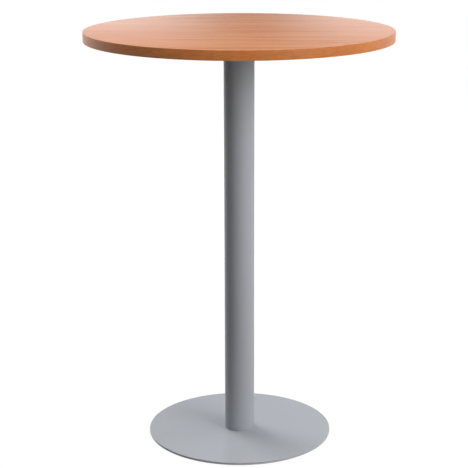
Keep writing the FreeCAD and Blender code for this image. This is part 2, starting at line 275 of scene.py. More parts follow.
def make_edge_strip():
    """The strip's section, spun round the table from the back."""
    clear_selection()
    middle = Vector((0, (band_inner + band_outer) / 2, (band_low.z + band_high.z) / 2))
    bpy.ops.mesh.primitive_plane_add(size=1, location=middle, rotation=(0, QUARTER_TURN, 0))
    bpy.context.object.scale = (band_height, band_outer - band_inner, 1)
    bpy.ops.object.transform_apply(location=True, rotation=True, scale=True)
    start_editing()
    pick("VERT", lambda vertex: vertex.co.y > middle.y)
    bpy.ops.mesh.bevel(offset=CORNER_RADIUS, segments=CORNER_STEPS, affect="VERTICES")
    pick("VERT", lambda vertex: vertex.co.y < band_inner + CLOSE)
    bpy.ops.mesh.bevel(offset=GLUE_BEVEL, segments=1, affect="VERTICES")
    bpy.ops.mesh.select_all(action="SELECT")
    bpy.ops.mesh.spin(
        steps=ROUND_STEPS, angle=math.tau - joint_turn, center=(0, 0, 0), axis=(0, 0, 1))
    bpy.ops.mesh.select_all(action="SELECT")
    bpy.ops.mesh.remove_doubles(threshold=MERGE_UNDER)
    bpy.ops.mesh.normals_make_consistent(inside=False)
    return finish_piece("edge_strip", "beech_edging", "edge_band")


edge_strip = make_edge_strip()

# %% [markdown]
# ## A ruler along the strip
#
# The printed wood grain runs along the strip, so its pattern has to follow the curve. A UV map can carry
# that: here U is the distance along the strip from the butt joint and V the distance across it, both in
# metres, so that the grain can be sized with the same ruler as everything else. Angles jump back to zero at
# the joint, so each corner of a face is kept on the same side of that jump as the face's middle.

# %% Edge strip: UV map
STRIP_MAP = "strip"


def turn_from_joint(place):
    """The angle from the butt joint to a place, seen from above."""
    return math.atan2(-place.x, place.y) % math.tau


def lay_ruler(piece):
    """Gives the strip a UV map in metres, along it and across it."""
    ruler = piece.data.uv_layers.new(name=STRIP_MAP)
    for face in piece.data.polygons:
        centre_turn = turn_from_joint(face.center)
        for corner in face.loop_indices:
            place = piece.data.vertices[piece.data.loops[corner].vertex_index].co
            turn = turn_from_joint(place)
            if turn - centre_turn > math.pi:
                turn -= math.tau
            if centre_turn - turn > math.pi:
                turn += math.tau
            inward = band_outer - math.hypot(place.x, place.y)
            side = 1 if place.z > (band_low.z + band_high.z) / 2 else -1
            across = place.z - band_low.z + side * inward
            ruler.data[corner].uv = (turn * band_outer, across)


lay_ruler(edge_strip)
print("strip length:", round(math.tau * band_outer, 3), "m")

# %% [markdown]
# ## The column
#
# The column is a round steel tube. It is modelled as one: an open cylinder, given the tube's wall by the
# Solidify modifier, with the sharp rims at its ends taken off by a Bevel modifier, as the saw cut is
# deburred before welding. More sides than the CAD model's mesh keep its outline round up close.

# %% Column
COLUMN_SIDES = 192
COLUMN_WALL = 0.002
COLUMN_BEVEL = 0.0003
COLUMN_BEVEL_STEPS = 2

column_low, column_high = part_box("column_tube")
column_radius = column_high.x


def make_column():
    """The tube, from the base plate to the mounting plate."""
    clear_selection()
    bpy.ops.mesh.primitive_cylinder_add(
        vertices=COLUMN_SIDES, radius=column_radius, depth=column_high.z - column_low.z,
        end_fill_type="NOTHING", location=(0, 0, (column_low.z + column_high.z) / 2))
    apply_modifier("SOLIDIFY", thickness=COLUMN_WALL, offset=-1)
    apply_modifier("BEVEL", width=COLUMN_BEVEL, segments=COLUMN_BEVEL_STEPS, limit_method="ANGLE")
    return finish_piece("column", "silver_coating", "column_tube")


make_column()

# %% [markdown]
# ## The base plate
#
# The base is a disc cut from 6 mm steel plate. Its rim is rounded over so that it doesn't cut a shoe or a
# floor. A Bevel modifier could do that too. Picking the rim's two edges by their height shows exactly what
# is bevelled, and a narrow ring inside each of them keeps the flat faces flat.

# %% Base plate: the disc
RIM_RADIUS = 0.0008
RIM_STEPS = 4

base_low, base_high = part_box("base_plate")
base_radius = base_high.x
base_thickness = base_high.z - base_low.z


def make_base_disc():
    """The plate, with both edges of its rim rounded."""
    clear_selection()
    bpy.ops.mesh.primitive_cylinder_add(
        vertices=ROUND_STEPS, radius=base_radius, depth=base_thickness,
        location=(0, 0, (base_low.z + base_high.z) / 2))
    start_editing()
    half = base_thickness / 2
    pick("EDGE", lambda edge: at_level(edge, half) or at_level(edge, -half))
    bpy.ops.mesh.bevel(offset=RIM_RADIUS, segments=RIM_STEPS, affect="EDGES")
    for side in (faces_up, faces_down):
        pick("FACE", side)
        bpy.ops.mesh.inset(thickness=RIM_RING)
    bpy.ops.object.mode_set(mode="OBJECT")
    return bpy.context.object


base_disc = make_base_disc()
print("base disc:", len(base_disc.data.vertices), "vertices before its holes are cut")

# %% [markdown]
# ## Cutters for the bolts
#
# The bolts that hold the column go up through the plate from below, with their heads sunk into it. Each
# cutter is shaped like the tools that make such a hole, and stands where the CAD model has its bolt: a short
# cylinder as wide as the head, then a cone, then a thin cylinder. It could be three cutters, but one closed
# shape cuts cleaner. It reaches a little past the plate, because a cutter that ended level with a face would
# leave the cut undecided.

# %% Base plate: cutters for the bolts
BOLT_HOLE_RADIUS = 0.0043
COUNTERSINK_RADIUS = 0.00805
COUNTERSINK_RIM = 0.0006
COUNTERSINK_SIDES = 64
PAST = 0.001


def centre_of(node):
    """The middle of a CAD node, seen from above."""
    low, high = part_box(node)
    return (low.x + high.x) / 2, (low.y + high.y) / 2


def make_bolt_cutter(place):
    """A countersink and its drill as one shape: a short cylinder, a cone and a thin cylinder."""
    clear_selection()
    depth = COUNTERSINK_RIM + PAST
    bpy.ops.mesh.primitive_cylinder_add(
        vertices=COUNTERSINK_SIDES, radius=COUNTERSINK_RADIUS, depth=depth,
        location=(*place, base_low.z - PAST + depth / 2))
    start_editing()
    pick("FACE", faces_up)
    cone = COUNTERSINK_RADIUS - BOLT_HOLE_RADIUS
    extrude_up(cone)
    narrow = BOLT_HOLE_RADIUS / COUNTERSINK_RADIUS
    bpy.ops.transform.resize(value=(narrow, narrow, 1))
    rest = base_thickness - COUNTERSINK_RIM - cone + PAST
    extrude_up(rest)
    bpy.ops.object.mode_set(mode="OBJECT")
    return bpy.context.object


BOLTS = [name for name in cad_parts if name.startswith("base_bolt_")]
bolt_cutters = [make_bolt_cutter(centre_of(name)) for name in BOLTS]
print("cutters for bolts:", len(bolt_cutters))

# %% [markdown]
# ## Cutters for the glides
#
# The glides' stems sit in blind holes that stop 2 mm short of the top face, so nothing shows from above. A
# drill leaves a cone at the bottom of such a hole, but the stem hides it, so a plain cylinder is enough.

# %% Base plate: cutters for the glides
GLIDE_HOLE_RADIUS = 0.00405
GLIDE_HOLE_DEPTH = 0.004
GLIDE_HOLE_SIDES = 32


def make_glide_cutter(place):
    """The drill for a glide's stem."""
    clear_selection()
    depth = GLIDE_HOLE_DEPTH + PAST
    bpy.ops.mesh.primitive_cylinder_add(
        vertices=GLIDE_HOLE_SIDES, radius=GLIDE_HOLE_RADIUS, depth=depth,
        location=(*place, base_low.z - PAST + depth / 2))
    return bpy.context.object


GLIDES = [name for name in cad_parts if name.startswith("floor_glide_")]
glide_cutters = [make_glide_cutter(centre_of(name)) for name in GLIDES]
print("cutters for glides:", len(glide_cutters))

# %% [markdown]
# ## Cutting the holes
#
# The holes could be built into the disc face by face, but a Boolean modifier cuts each in one step and
# leaves a clean rim. Its exact solver takes longer than the fast one and copes with thin plates and fine
# bevels. The cutters are only tools, so each is removed once it has been used.

# %% Base plate: cutting


def cut_holes(piece, cutters):
    """Takes every cutter's shape out of the piece, and removes the cutters."""
    clear_selection()
    piece.select_set(True)
    bpy.context.view_layer.objects.active = piece
    for cutter in cutters:
        apply_modifier("BOOLEAN", object=cutter, operation="DIFFERENCE", solver="EXACT")
        bpy.data.objects.remove(cutter)


cut_holes(base_disc, bolt_cutters + glide_cutters)
finish_piece("base_disc", "silver_coating", "base_plate")

# %% [markdown]
# ## The glides
#
# Six plastic glides plug into the base plate and keep the steel off the floor. Each is a moulded button
# with a stem. Its sole has a rounded edge, a shallow ring and a small dimple in the middle, where the
# plastic entered the mould. A spun profile could give the same shape, but insets on a cylinder's two ends
# are easier to follow.

# %% Glide: one of them
GLIDE_SIDES = 64
SOLE_RADIUS = 0.0006
SOLE_STEPS = 3
SOLE_RING = 0.003
SOLE_GROOVE = 0.0005
GROOVE_DEPTHS = (0.0, -SOLE_GROOVE, SOLE_GROOVE)
GATE_RADIUS = 0.002
STEM_BEVEL = 0.0005
STEM_RADIUS = 0.004


def make_glide(place, low, high, sole_top):
    """A moulded button with its stem."""
    clear_selection()
    radius = (high.x - low.x) / 2
    bpy.ops.mesh.primitive_cylinder_add(
        vertices=GLIDE_SIDES, radius=radius, depth=sole_top, location=(*place, sole_top / 2))
    start_editing()
    pick("EDGE", lambda edge: at_level(edge, -sole_top / 2))
    bpy.ops.mesh.bevel(offset=SOLE_RADIUS, segments=SOLE_STEPS, affect="EDGES")
    pick("FACE", faces_down)
    bpy.ops.mesh.inset(thickness=SOLE_RING)
    for depth in GROOVE_DEPTHS:
        bpy.ops.mesh.inset(thickness=SOLE_GROOVE, depth=depth)
    left = radius - SOLE_RADIUS - SOLE_RING - len(GROOVE_DEPTHS) * SOLE_GROOVE
    bpy.ops.mesh.inset(thickness=left - GATE_RADIUS)
    bpy.ops.mesh.inset(thickness=SOLE_GROOVE, depth=-SOLE_GROOVE)
    pick("FACE", faces_up)
    bpy.ops.mesh.inset(thickness=radius - STEM_RADIUS)
    stem = high.z - sole_top
    extrude_up(stem)
    pick("EDGE", lambda edge: at_level(edge, sole_top / 2 + stem))
    bpy.ops.mesh.bevel(offset=STEM_BEVEL, segments=1, affect="EDGES")
    bpy.ops.object.mode_set(mode="OBJECT")
    return bpy.context.object


first_low, first_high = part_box(GLIDES[0])
first_place = centre_of(GLIDES[0])
pattern_glide = make_glide(first_place, first_low, first_high, base_low.z)
finish_piece("glide_1", "glide_plastic", GLIDES[0])

# %% [markdown]
# ## The other five glides
#
# All six come from one mould, so one shape serves them all. An Array modifier could repeat it, but each
# glide is a piece of its own and stands for a CAD piece of its own. The first one is therefore duplicated
# with a mesh of its own and turned about the column to each of the other places.

# %% Glide: the copies


def copy_glide(number, node):
    """A copy of the first glide, turned about the column to its own place."""
    clear_selection()
    pattern_glide.select_set(True)
    bpy.context.view_layer.objects.active = pattern_glide
    bpy.ops.object.duplicate(linked=False)
    x, y = centre_of(node)
    turn = math.atan2(y, x) - math.atan2(first_place[1], first_place[0])
    bpy.context.object.matrix_world = Matrix.Rotation(turn, 4, "Z")
    bpy.context.object.pop("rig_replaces")
    return finish_piece(f"glide_{number}", "glide_plastic", node)


for number, node in enumerate(GLIDES[1:], 2):
    copy_glide(number, node)

# %% [markdown]
# ## Helpers for finishes
#
# A finish is a node tree round one Principled shader. Nodes that vary something over the surface, such as
# a noise that darkens the wood in streaks, feed its sockets. A number that is the same all over is typed
# into the socket itself. Each finish is kept under its slot's name, or under a piece's own name where only
# that piece has it.

# %% Helpers: nodes
FINISHES = {}


def set_sockets(node, settings):
    """Sets sockets by name. Underscores stand for spaces."""
    for name, setting in settings.items():
        node.inputs[name.replace("_", " ")].default_value = setting


def new_finish(name, **settings):
    """A material with its Principled shader set by socket name."""
    finish = bpy.data.materials.new(name)
    finish.use_nodes = True
    set_sockets(finish.node_tree.nodes["Principled BSDF"], settings)
    return finish


def add_node(finish, kind, **settings):
    """A new node in a finish or in the room, with its sockets set by name."""
    node = finish.node_tree.nodes.new(kind)
    set_sockets(node, settings)
    return node


def join(finish, output, socket):
    """Joins an output to a socket."""
    finish.node_tree.links.new(output, socket)


def feed(finish, socket, output):
    """Joins an output to a socket of the finish's Principled shader."""
    join(finish, output, finish.node_tree.nodes["Principled BSDF"].inputs[socket])


def keep(name, finish):
    """Keeps a finish for the slot or the piece of this name."""
    FINISHES[name] = finish
    print(name, "has a finish of", len(finish.node_tree.nodes), "nodes")


# %% [markdown]
# ## Helpers for patterns
#
# All patterns are measured in metres, on the Object coordinates or on the strip's own ruler. Multiplying
# the coordinates by 300 gives a noise with features a few millimetres wide, and unlike numbers along and
# across stretch it into streaks. The grain is turned first and stretched afterwards. A Mapping node does it
# in that order when it is set to Texture, and then it divides, so it is given the factors upside down.

# %% Helpers: coordinates


def turned_and_scaled(finish, output, scale, turn):
    """Coordinates turned about Z, and then multiplied by these factors."""
    inverse = [1 / factor for factor in scale]
    mapping = add_node(finish, "ShaderNodeMapping", Scale=inverse, Rotation=(0, 0, turn))
    mapping.vector_type = "TEXTURE"
    join(finish, output, mapping.inputs["Vector"])
    return mapping.outputs["Vector"]


def on_piece(finish, scale):
    """Object coordinates, multiplied by these factors."""
    source = add_node(finish, "ShaderNodeTexCoord")
    return turned_and_scaled(finish, source.outputs["Object"], scale, 0.0)


def strip_ruler(finish):
    """The strip's UV map, as a node's output."""
    source = add_node(finish, "ShaderNodeUVMap")
    source.uv_map = STRIP_MAP
    return source.outputs["UV"]


def on_strip(finish, scale, turn=0.0):
    """The strip's ruler after a turn, multiplied by these factors."""
    return turned_and_scaled(finish, strip_ruler(finish), scale, turn)


# %% [markdown]
# ## Helpers for values
#
# A noise gives a value from 0 to 1 at each place. Map Range carries the part of it that should show over to
# a share, a roughness or a strength. A Color Ramp could do that too, but then the numbers would be hidden
# inside the ramp. A noise seldom leaves the middle of its range, so a change from one end to the other is
# spread over that middle part.

# %% Helpers: values
NOISE_MIDDLE = 0.35, 0.65
NOISE_MOST = 0.3, 0.7


def noise(finish, place, detail=2.0, roughness=0.5, distortion=0.0):
    """Soft random patches about one unit wide on the stretched coordinates, from 0 to 1."""
    node = add_node(
        finish, "ShaderNodeTexNoise", Scale=1.0, Detail=detail, Roughness=roughness,
        Distortion=distortion)
    join(finish, place, node.inputs["Vector"])
    return node.outputs["Fac"]


def remap(finish, output, low, high, new_low, new_high):
    """Carries a range of values over to another, and stops at its ends."""
    node = add_node(
        finish, "ShaderNodeMapRange", From_Min=low, From_Max=high, To_Min=new_low, To_Max=new_high)
    join(finish, output, node.inputs["Value"])
    return node.outputs["Result"]


def total(finish, first, second, operation="ADD"):
    """Adds, multiplies or otherwise combines two outputs, or an output and a number."""
    node = add_node(finish, "ShaderNodeMath")
    node.operation = operation
    for socket, source in zip(node.inputs, (first, second)):
        if isinstance(source, bpy.types.NodeSocket):
            join(finish, source, socket)
        else:
            socket.default_value = source
    return node.outputs["Value"]


# %% [markdown]
# ## Helpers for colours, shaders and bumps
#
# One colour is laid over another by a share, which is a noise's value after Map Range. The Mix node has a
# set of sockets for each kind of data, under the same names, so those for colours are reached by their
# numbers. Whole shaders are mixed by a share too. A Bump node shades a surface as if it had heights, where
# moving the faces themselves would take millions of them for a grain this fine.

# %% Helpers: colours, shaders and bumps
MIX_SHARE = 0
MIX_FIRST = 6
MIX_SECOND = 7
MIX_RESULT = 2


def blend(finish, share, first, second, mode="MIX"):
    """Mixes two colours. Each is a colour or the output of a node."""
    node = add_node(finish, "ShaderNodeMix")
    node.data_type = "RGBA"
    node.blend_type = mode
    for index, source in ((MIX_SHARE, share), (MIX_FIRST, first), (MIX_SECOND, second)):
        if isinstance(source, bpy.types.NodeSocket):
            join(finish, source, node.inputs[index])
        elif index == MIX_SHARE:
            node.inputs[index].default_value = source
        else:
            node.inputs[index].default_value = (*source, 1)
    return node.outputs[MIX_RESULT]


def mix_shaders(finish, share, first, second):
    """Goes from one shader to another by a share."""
    node = add_node(finish, "ShaderNodeMixShader")
    for socket, source in zip(node.inputs, (share, first, second)):
        join(finish, source, socket)
    return node.outputs["Shader"]


def bump(finish, height, distance):
    """Turns heights, 0 to 1 for this distance in metres, into a normal."""
    node = add_node(finish, "ShaderNodeBump", Strength=1.0, Distance=distance)
    join(finish, height, node.inputs["Height"])
    return node.outputs["Normal"]


def cloud(finish, pattern, first, second, rough):
    """Lets a pattern vary the finish between two colours and two limits of roughness."""
    share = remap(finish, pattern, *NOISE_MIDDLE, 0, 1)
    feed(finish, "Base Color", blend(finish, share, first, second))
    feed(finish, "Roughness", remap(finish, pattern, *NOISE_MOST, *rough))


# %% [markdown]
# ## Beech laminate: the print
#
# Decorative laminate is printed paper under clear melamine resin. The print shows steamed beech: broad
# soft bands, straight streaks about a centimetre wide, fine lines, and many short dark flecks, all along one
# direction. One noise could be stretched into wood, but wood has several sizes of line at once, so each
# gets a noise of its own. Its count says how many features fit in a metre along X, Y and Z. What shows of
# it is a part of its range, followed by the share of its colour at the two ends of that part.

# %% Beech laminate: the print
BEECH = (0.93, 0.376, 0.158)
BEECH_LIGHT = (0.99, 0.465, 0.225)
BEECH_DARK = (0.79, 0.265, 0.094)
BEECH_FLECK = (0.55, 0.187, 0.089)
BANDS_COUNT = (1.2, 12, 1)
BANDS_SHOW = 0.38, 0.62, 0.0, 1.0
STREAKS_COUNT = (3.5, 70, 1)
STREAKS_SHOW = 0.42, 0.68, 0.0, 0.9
LINES_COUNT = (7, 620, 1)
LINES_SHOW = 0.5, 0.75, 0.0, 0.35
FLECKS_COUNT = (150, 1500, 1)
FLECKS_SHOW = 0.66, 0.74, 0.0, 0.6


def beech_print(finish):
    """The colour of printed beech with its grain along X, and the height of its fine lines."""
    bands = noise(finish, on_piece(finish, BANDS_COUNT), detail=3, distortion=0.3)
    streaks = noise(finish, on_piece(finish, STREAKS_COUNT), detail=4, roughness=0.65)
    lines = noise(finish, on_piece(finish, LINES_COUNT), detail=2)
    flecks = noise(finish, on_piece(finish, FLECKS_COUNT), detail=0)
    colour = blend(finish, remap(finish, bands, *BANDS_SHOW), BEECH, BEECH_LIGHT)
    colour = blend(finish, remap(finish, streaks, *STREAKS_SHOW), colour, BEECH_DARK)
    colour = blend(finish, remap(finish, lines, *LINES_SHOW), colour, BEECH_DARK)
    colour = blend(finish, remap(finish, flecks, *FLECKS_SHOW), colour, BEECH_FLECK)
    return colour, lines


print("flecks on the top:", round(1000 / FLECKS_COUNT[0], 1), "mm long")

# %% [markdown]
# ## Beech laminate: the resin
#
# The resin is pressed against a satin plate, which leaves a fine, even texture, and hands and cloths wear it
# unevenly. One roughness all over would look like a plastic sheet, so the plate's texture and the wear vary
# it. The sheet under the board has the same print, but greyer and pressed matt, so one function makes both,
# with a tint and two limits of roughness.

# %% Beech laminate: the resin
CLEAR = (1.0, 1.0, 1.0)
DULLED = (0.49, 0.73, 0.87)
SATIN = 0.065, 0.105
MATT = 0.42, 0.5
RESIN_IOR = 1.5
RESIN_PRESSED_COUNT = (420, 900, 420)
RESIN_PRESSED_DEPTH = 0.000006
RESIN_HANDLED_COUNT = (5, 9, 5)
RESIN_WEAR = 0.6, 1.4


def make_beech_laminate(name, tint, smoothest, roughest):
    """Printed beech under melamine resin of this tint and roughness."""
    finish = new_finish(name, Roughness=smoothest, IOR=RESIN_IOR)
    colour, lines = beech_print(finish)
    feed(finish, "Base Color", blend(finish, 1.0, colour, tint, "MULTIPLY"))
    pressed = noise(finish, on_piece(finish, RESIN_PRESSED_COUNT), detail=1)
    handled = noise(finish, on_piece(finish, RESIN_HANDLED_COUNT), detail=3)
    wear = total(finish, pressed, handled)
    feed(finish, "Roughness", remap(finish, wear, *RESIN_WEAR, smoothest, roughest))
    feed(finish, "Normal", bump(finish, total(finish, pressed, lines), RESIN_PRESSED_DEPTH))
    return finish


keep("beech_laminate", make_beech_laminate("satin_beech", CLEAR, *SATIN))
keep("underside_laminate", make_beech_laminate("matt_beech", DULLED, *MATT))

# %% [markdown]
# ## Edge strip finish: the print
#
# The strip is a thin tape printed with the same wood. Its print is a little deeper in colour than the top,
# runs along the strip and drifts slightly across it, since the tape was slit from a wider sheet. Object
# coordinates would cut straight through the bend, so the print lies on the strip's own ruler, turned by the
# drift.

# %% Edge strip finish: the print
EDGING = (0.592, 0.186, 0.039)
EDGING_LIGHT = (0.678, 0.233, 0.057)
EDGING_DARK = (0.4, 0.11, 0.022)
PRINT_DRIFT = math.radians(7)
TAPE_BANDS_COUNT = (9, 110, 1)
TAPE_BANDS_SHOW = 0.35, 0.65, 0.0, 0.8
TAPE_STREAKS_COUNT = (52, 520, 1)
TAPE_STREAKS_SHOW = 0.43, 0.75, 0.0, 0.85
TAPE_FLECKS_COUNT = (150, 2200, 1)
TAPE_FLECKS_SHOW = 0.64, 0.74, 0.0, 0.5


def tape_print(finish):
    """The colour of the printed tape with its grain along the strip, and the height of its streaks."""
    bands = noise(finish, on_strip(finish, TAPE_BANDS_COUNT, PRINT_DRIFT), detail=2)
    streaks = noise(
        finish, on_strip(finish, TAPE_STREAKS_COUNT, PRINT_DRIFT), detail=3, roughness=0.55)
    flecks = noise(finish, on_strip(finish, TAPE_FLECKS_COUNT, PRINT_DRIFT), detail=0)
    colour = blend(finish, remap(finish, bands, *TAPE_BANDS_SHOW), EDGING, EDGING_LIGHT)
    colour = blend(finish, remap(finish, streaks, *TAPE_STREAKS_SHOW), colour, EDGING_DARK)
    colour = blend(finish, remap(finish, flecks, *TAPE_FLECKS_SHOW), colour, EDGING_DARK)
    return colour, streaks


print("print drift on the strip:", round(math.tan(PRINT_DRIFT) * 1000), "mm in a metre")

# %% [markdown]
# ## Edge strip finish: the tape
#
# The rounded corners are painted a touch paler, as a painted highlight where the light catches them. The
# strip's ruler says how far a place is from the middle of the strip, so the painted highlight comes in over
# the last millimetre. The face of the tape has a fine pressed texture, and its streaks can just be felt.

# %% Edge strip finish: the tape
# Painted highlight: the paler colour that the strip's rounded corners turn towards.
EDGING_PAINTED_HIGHLIGHT = (0.76, 0.37, 0.19)
PAINTED_HIGHLIGHT_FROM = 0.0011
PAINTED_HIGHLIGHT_FULLY = 0.0004
PAINTED_HIGHLIGHT_SHARE = 0.5
TAPE_SHINE = 0.4
TAPE_ROUGH = 0.3, 0.4
TAPE_PRESSED_COUNT = (300, 1100, 1)
TAPE_PRESSED_DEPTH = 0.00003


def off_the_middle(finish):
    """How far a place is from the line along the middle of the strip, in metres."""
    split = add_node(finish, "ShaderNodeSeparateXYZ")
    join(finish, strip_ruler(finish), split.inputs["Vector"])
    middle = total(finish, split.outputs["Y"], band_height / 2, "SUBTRACT")
    return total(finish, middle, 0.0, "ABSOLUTE")


def make_beech_edging():
    """Printed beech tape, with a painted highlight along its rounded corners."""
    finish = new_finish("beech_edging", Specular_IOR_Level=TAPE_SHINE)
    colour, streaks = tape_print(finish)
    # Painted highlight: the colour turns paler over the last millimetre towards each rounded corner.
    edge = band_height / 2
    painted_highlight = remap(
        finish, off_the_middle(finish), edge - PAINTED_HIGHLIGHT_FROM, edge - PAINTED_HIGHLIGHT_FULLY, 0, PAINTED_HIGHLIGHT_SHARE)
    feed(finish, "Base Color", blend(finish, painted_highlight, colour, EDGING_PAINTED_HIGHLIGHT))
    pressed = noise(finish, on_strip(finish, TAPE_PRESSED_COUNT), detail=1)
    feed(finish, "Roughness", remap(finish, pressed, *NOISE_MOST, *TAPE_ROUGH))
    feed(finish, "Normal", bump(finish, total(finish, pressed, streaks), TAPE_PRESSED_DEPTH))
    return finish


keep("beech_edging", make_beech_edging())

# %% [markdown]
# ## Silver coating
#
# The steel is powder coated in a silver grey. The powder holds fine metal flakes and melts to a skin with
# a very slight waviness, called orange peel. Close up it sparkles a little, and from a step away it is an
# even satin grey. The flakes could make the shader a metal, but they lie inside the plastic skin and at all
# angles, so paler specks about a third of a millimetre wide look closer to it. A wider noise makes the
# waviness. On the flat base the powder levels better than on the tube, so the base is smoother and mirrors
# the foot of the column softly.

# %% Silver coating
SILVER = (0.451, 0.467, 0.502)
SILVER_DARK = (0.402, 0.420, 0.453)
SILVER_FLAKE = (0.584, 0.599, 0.635)
FLAKES_COUNT = (2600, 2600, 2600)
FLAKES_SHINE_OUT = 0.55, 0.75, 0.0, 0.6
FLAKES_ROUGHEN = 0.4, 0.7, 0.07, 0.0
PATCHES_COUNT = (9, 9, 6)
PATCHES_SHARE = 0.12
PEEL_COUNT = (420, 420, 420)
PEEL_DEPTH = 0.00004
TUBE_ROUGH = 0.36, 0.42
TUBE_SHINE = 0.12
BASE_ROUGH = 0.15, 0.17
BASE_SHINE = 0.5


def make_silver_coating(name, smoothest, roughest, shine):
    """Silver powder coating with flakes and orange peel."""
    finish = new_finish(name, Roughness=smoothest, Specular_IOR_Level=shine)
    flakes = noise(finish, on_piece(finish, FLAKES_COUNT), detail=0)
    patches = noise(finish, on_piece(finish, PATCHES_COUNT), detail=3)
    dark = remap(finish, patches, *NOISE_MOST, 0, PATCHES_SHARE)
    colour = blend(finish, dark, SILVER, SILVER_DARK)
    colour = blend(finish, remap(finish, flakes, *FLAKES_SHINE_OUT), colour, SILVER_FLAKE)
    feed(finish, "Base Color", colour)
    between_flakes = remap(finish, flakes, *FLAKES_ROUGHEN)
    skin = remap(finish, patches, *NOISE_MOST, smoothest, roughest)
    feed(finish, "Roughness", total(finish, between_flakes, skin))
    peel = noise(finish, on_piece(finish, PEEL_COUNT), detail=2)
    feed(finish, "Normal", bump(finish, peel, PEEL_DEPTH))
    return finish


keep("silver_coating", make_silver_coating("tube_coating", *TUBE_ROUGH, TUBE_SHINE))
keep("base_disc", make_silver_coating("base_coating", *BASE_ROUGH, BASE_SHINE))

# %% [markdown]
# ## Zinc plating and brass
#
# The bolts and screws are plated with zinc, and the threaded inserts in the board are brass. Both metals are
# bright, with duller patches a few millimetres wide. A plain metal shader would look like chrome, so one
# noise varies the colour and the roughness together. The zinc also has the fine grain of its bath.

# %% Zinc plating and brass
ZINC = (0.70, 0.71, 0.73)
ZINC_DULLED = (0.58, 0.60, 0.64)
ZINC_DULLED_COUNT = (260, 260, 260)
ZINC_ROUGH = 0.24, 0.38
ZINC_GRAIN_COUNT = (2400, 2400, 2400)
ZINC_GRAIN_DEPTH = 0.00001
BRASS = (0.76, 0.58, 0.30)
BRASS_DULLED = (0.60, 0.43, 0.20)
BRASS_DULLED_COUNT = (300, 300, 300)
BRASS_ROUGH = 0.24, 0.4


def make_bright_metal(name, count, bright, dull, rough):
    """A bright metal with this many duller patches in a metre."""
    finish = new_finish(name, Metallic=1.0)
    patches = noise(finish, on_piece(finish, count), detail=3)
    cloud(finish, patches, bright, dull, rough)
    return finish


zinc = make_bright_metal("zinc_steel", ZINC_DULLED_COUNT, ZINC, ZINC_DULLED, ZINC_ROUGH)
zinc_grain = noise(zinc, on_piece(zinc, ZINC_GRAIN_COUNT), detail=1)
feed(zinc, "Normal", bump(zinc, zinc_grain, ZINC_GRAIN_DEPTH))
brass = make_bright_metal("insert_brass", BRASS_DULLED_COUNT, BRASS, BRASS_DULLED, BRASS_ROUGH)
keep("zinc_steel", zinc)
keep("insert_brass", brass)

# %% [markdown]
# ## Turned steel
#
# The discs inside the ends of the column are turned on a lathe and left bare. The tool leaves rings round
# the middle. An anisotropic shader would only stretch the highlight, so a Wave texture set to rings about
# the Z axis draws the marks themselves, and they vary the colour, the roughness and the height together.

# %% Turned steel
TURNED = (0.50, 0.50, 0.51)
TURNED_DARK = (0.42, 0.42, 0.43)
TURNED_ROUGH = 0.32, 0.44
TURNED_DEPTH = 0.00002


def make_bare_steel():
    """Bare steel with the rings that a lathe leaves."""
    finish = new_finish("bare_steel", Metallic=1.0)
    source = add_node(finish, "ShaderNodeTexCoord")
    rings = add_node(finish, "ShaderNodeTexWave", Scale=260.0, Distortion=1.5, Detail=2.0)
    rings.wave_type = "RINGS"
    rings.rings_direction = "Z"
    join(finish, source.outputs["Object"], rings.inputs["Vector"])
    marks = rings.outputs["Fac"]
    feed(finish, "Base Color", blend(finish, marks, TURNED, TURNED_DARK))
    feed(finish, "Roughness", remap(finish, marks, 0, 1, *TURNED_ROUGH))
    feed(finish, "Normal", bump(finish, marks, TURNED_DEPTH))
    return finish


keep("bare_steel", make_bare_steel())

# %% [markdown]
# ## Weld beads
#
# The discs are welded into the column. A weld bead is darker than the steel beside it, tinted brown by the
# heat, and rippled. Modelling the ripples would take thousands of faces for something inside a tube, so a
# slightly distorted noise lifts the surface by a third of a millimetre.

# %% Weld beads
WELD_TINTED = (0.34, 0.31, 0.29)
WELD = (0.44, 0.43, 0.43)
WELD_RIPPLES_COUNT = (380, 380, 900)
WELD_RIPPLES_DEPTH = 0.0003
WELD_ROUGH = 0.36, 0.56


def make_weld_steel():
    """Weld beads with their ripples and heat tint."""
    finish = new_finish("weld_steel", Metallic=1.0)
    ripples = noise(finish, on_piece(finish, WELD_RIPPLES_COUNT), detail=2, distortion=0.6)
    cloud(finish, ripples, WELD_TINTED, WELD, WELD_ROUGH)
    feed(finish, "Normal", bump(finish, ripples, WELD_RIPPLES_DEPTH))
    return finish


keep("weld_steel", make_weld_steel())

# %% [markdown]
# ## Moulded plastic
#
# The glides are black plastic with a fine, even grain from the mould. Pure black would hide their shape, so
# it is a very dark grey, and the grain varies its roughness so that the light breaks up on it.

# %% Moulded plastic
PLASTIC = (0.022, 0.022, 0.024)
PLASTIC_PALE = (0.034, 0.034, 0.036)
PLASTIC_IOR = 1.48
PLASTIC_GRAIN_COUNT = (1500, 1500, 1500)
PLASTIC_GRAIN_SHOW = 0.4, 0.65, 0.0, 1.0
PLASTIC_ROUGH = 0.48, 0.62
PLASTIC_GRAIN_DEPTH = 0.00004


def make_glide_plastic():
    """Black moulded plastic."""
    finish = new_finish("glide_plastic", IOR=PLASTIC_IOR)
    grain = noise(finish, on_piece(finish, PLASTIC_GRAIN_COUNT), detail=2)
    share = remap(finish, grain, *PLASTIC_GRAIN_SHOW)
    feed(finish, "Base Color", blend(finish, share, PLASTIC, PLASTIC_PALE))
    feed(finish, "Roughness", remap(finish, grain, *NOISE_MIDDLE, *PLASTIC_ROUGH))
    feed(finish, "Normal", bump(finish, grain, PLASTIC_GRAIN_DEPTH))
    return finish


keep("glide_plastic", make_glide_plastic())

# %% [markdown]
# ## Particle board
#
# The core of the top is pressed wood chips. A noise would look like cork. A Voronoi texture divides the
# board into cells, each with a random colour, and one channel of that colour gives each chip its own tone.
# The chips lie flat, so the cells are pressed together in height.

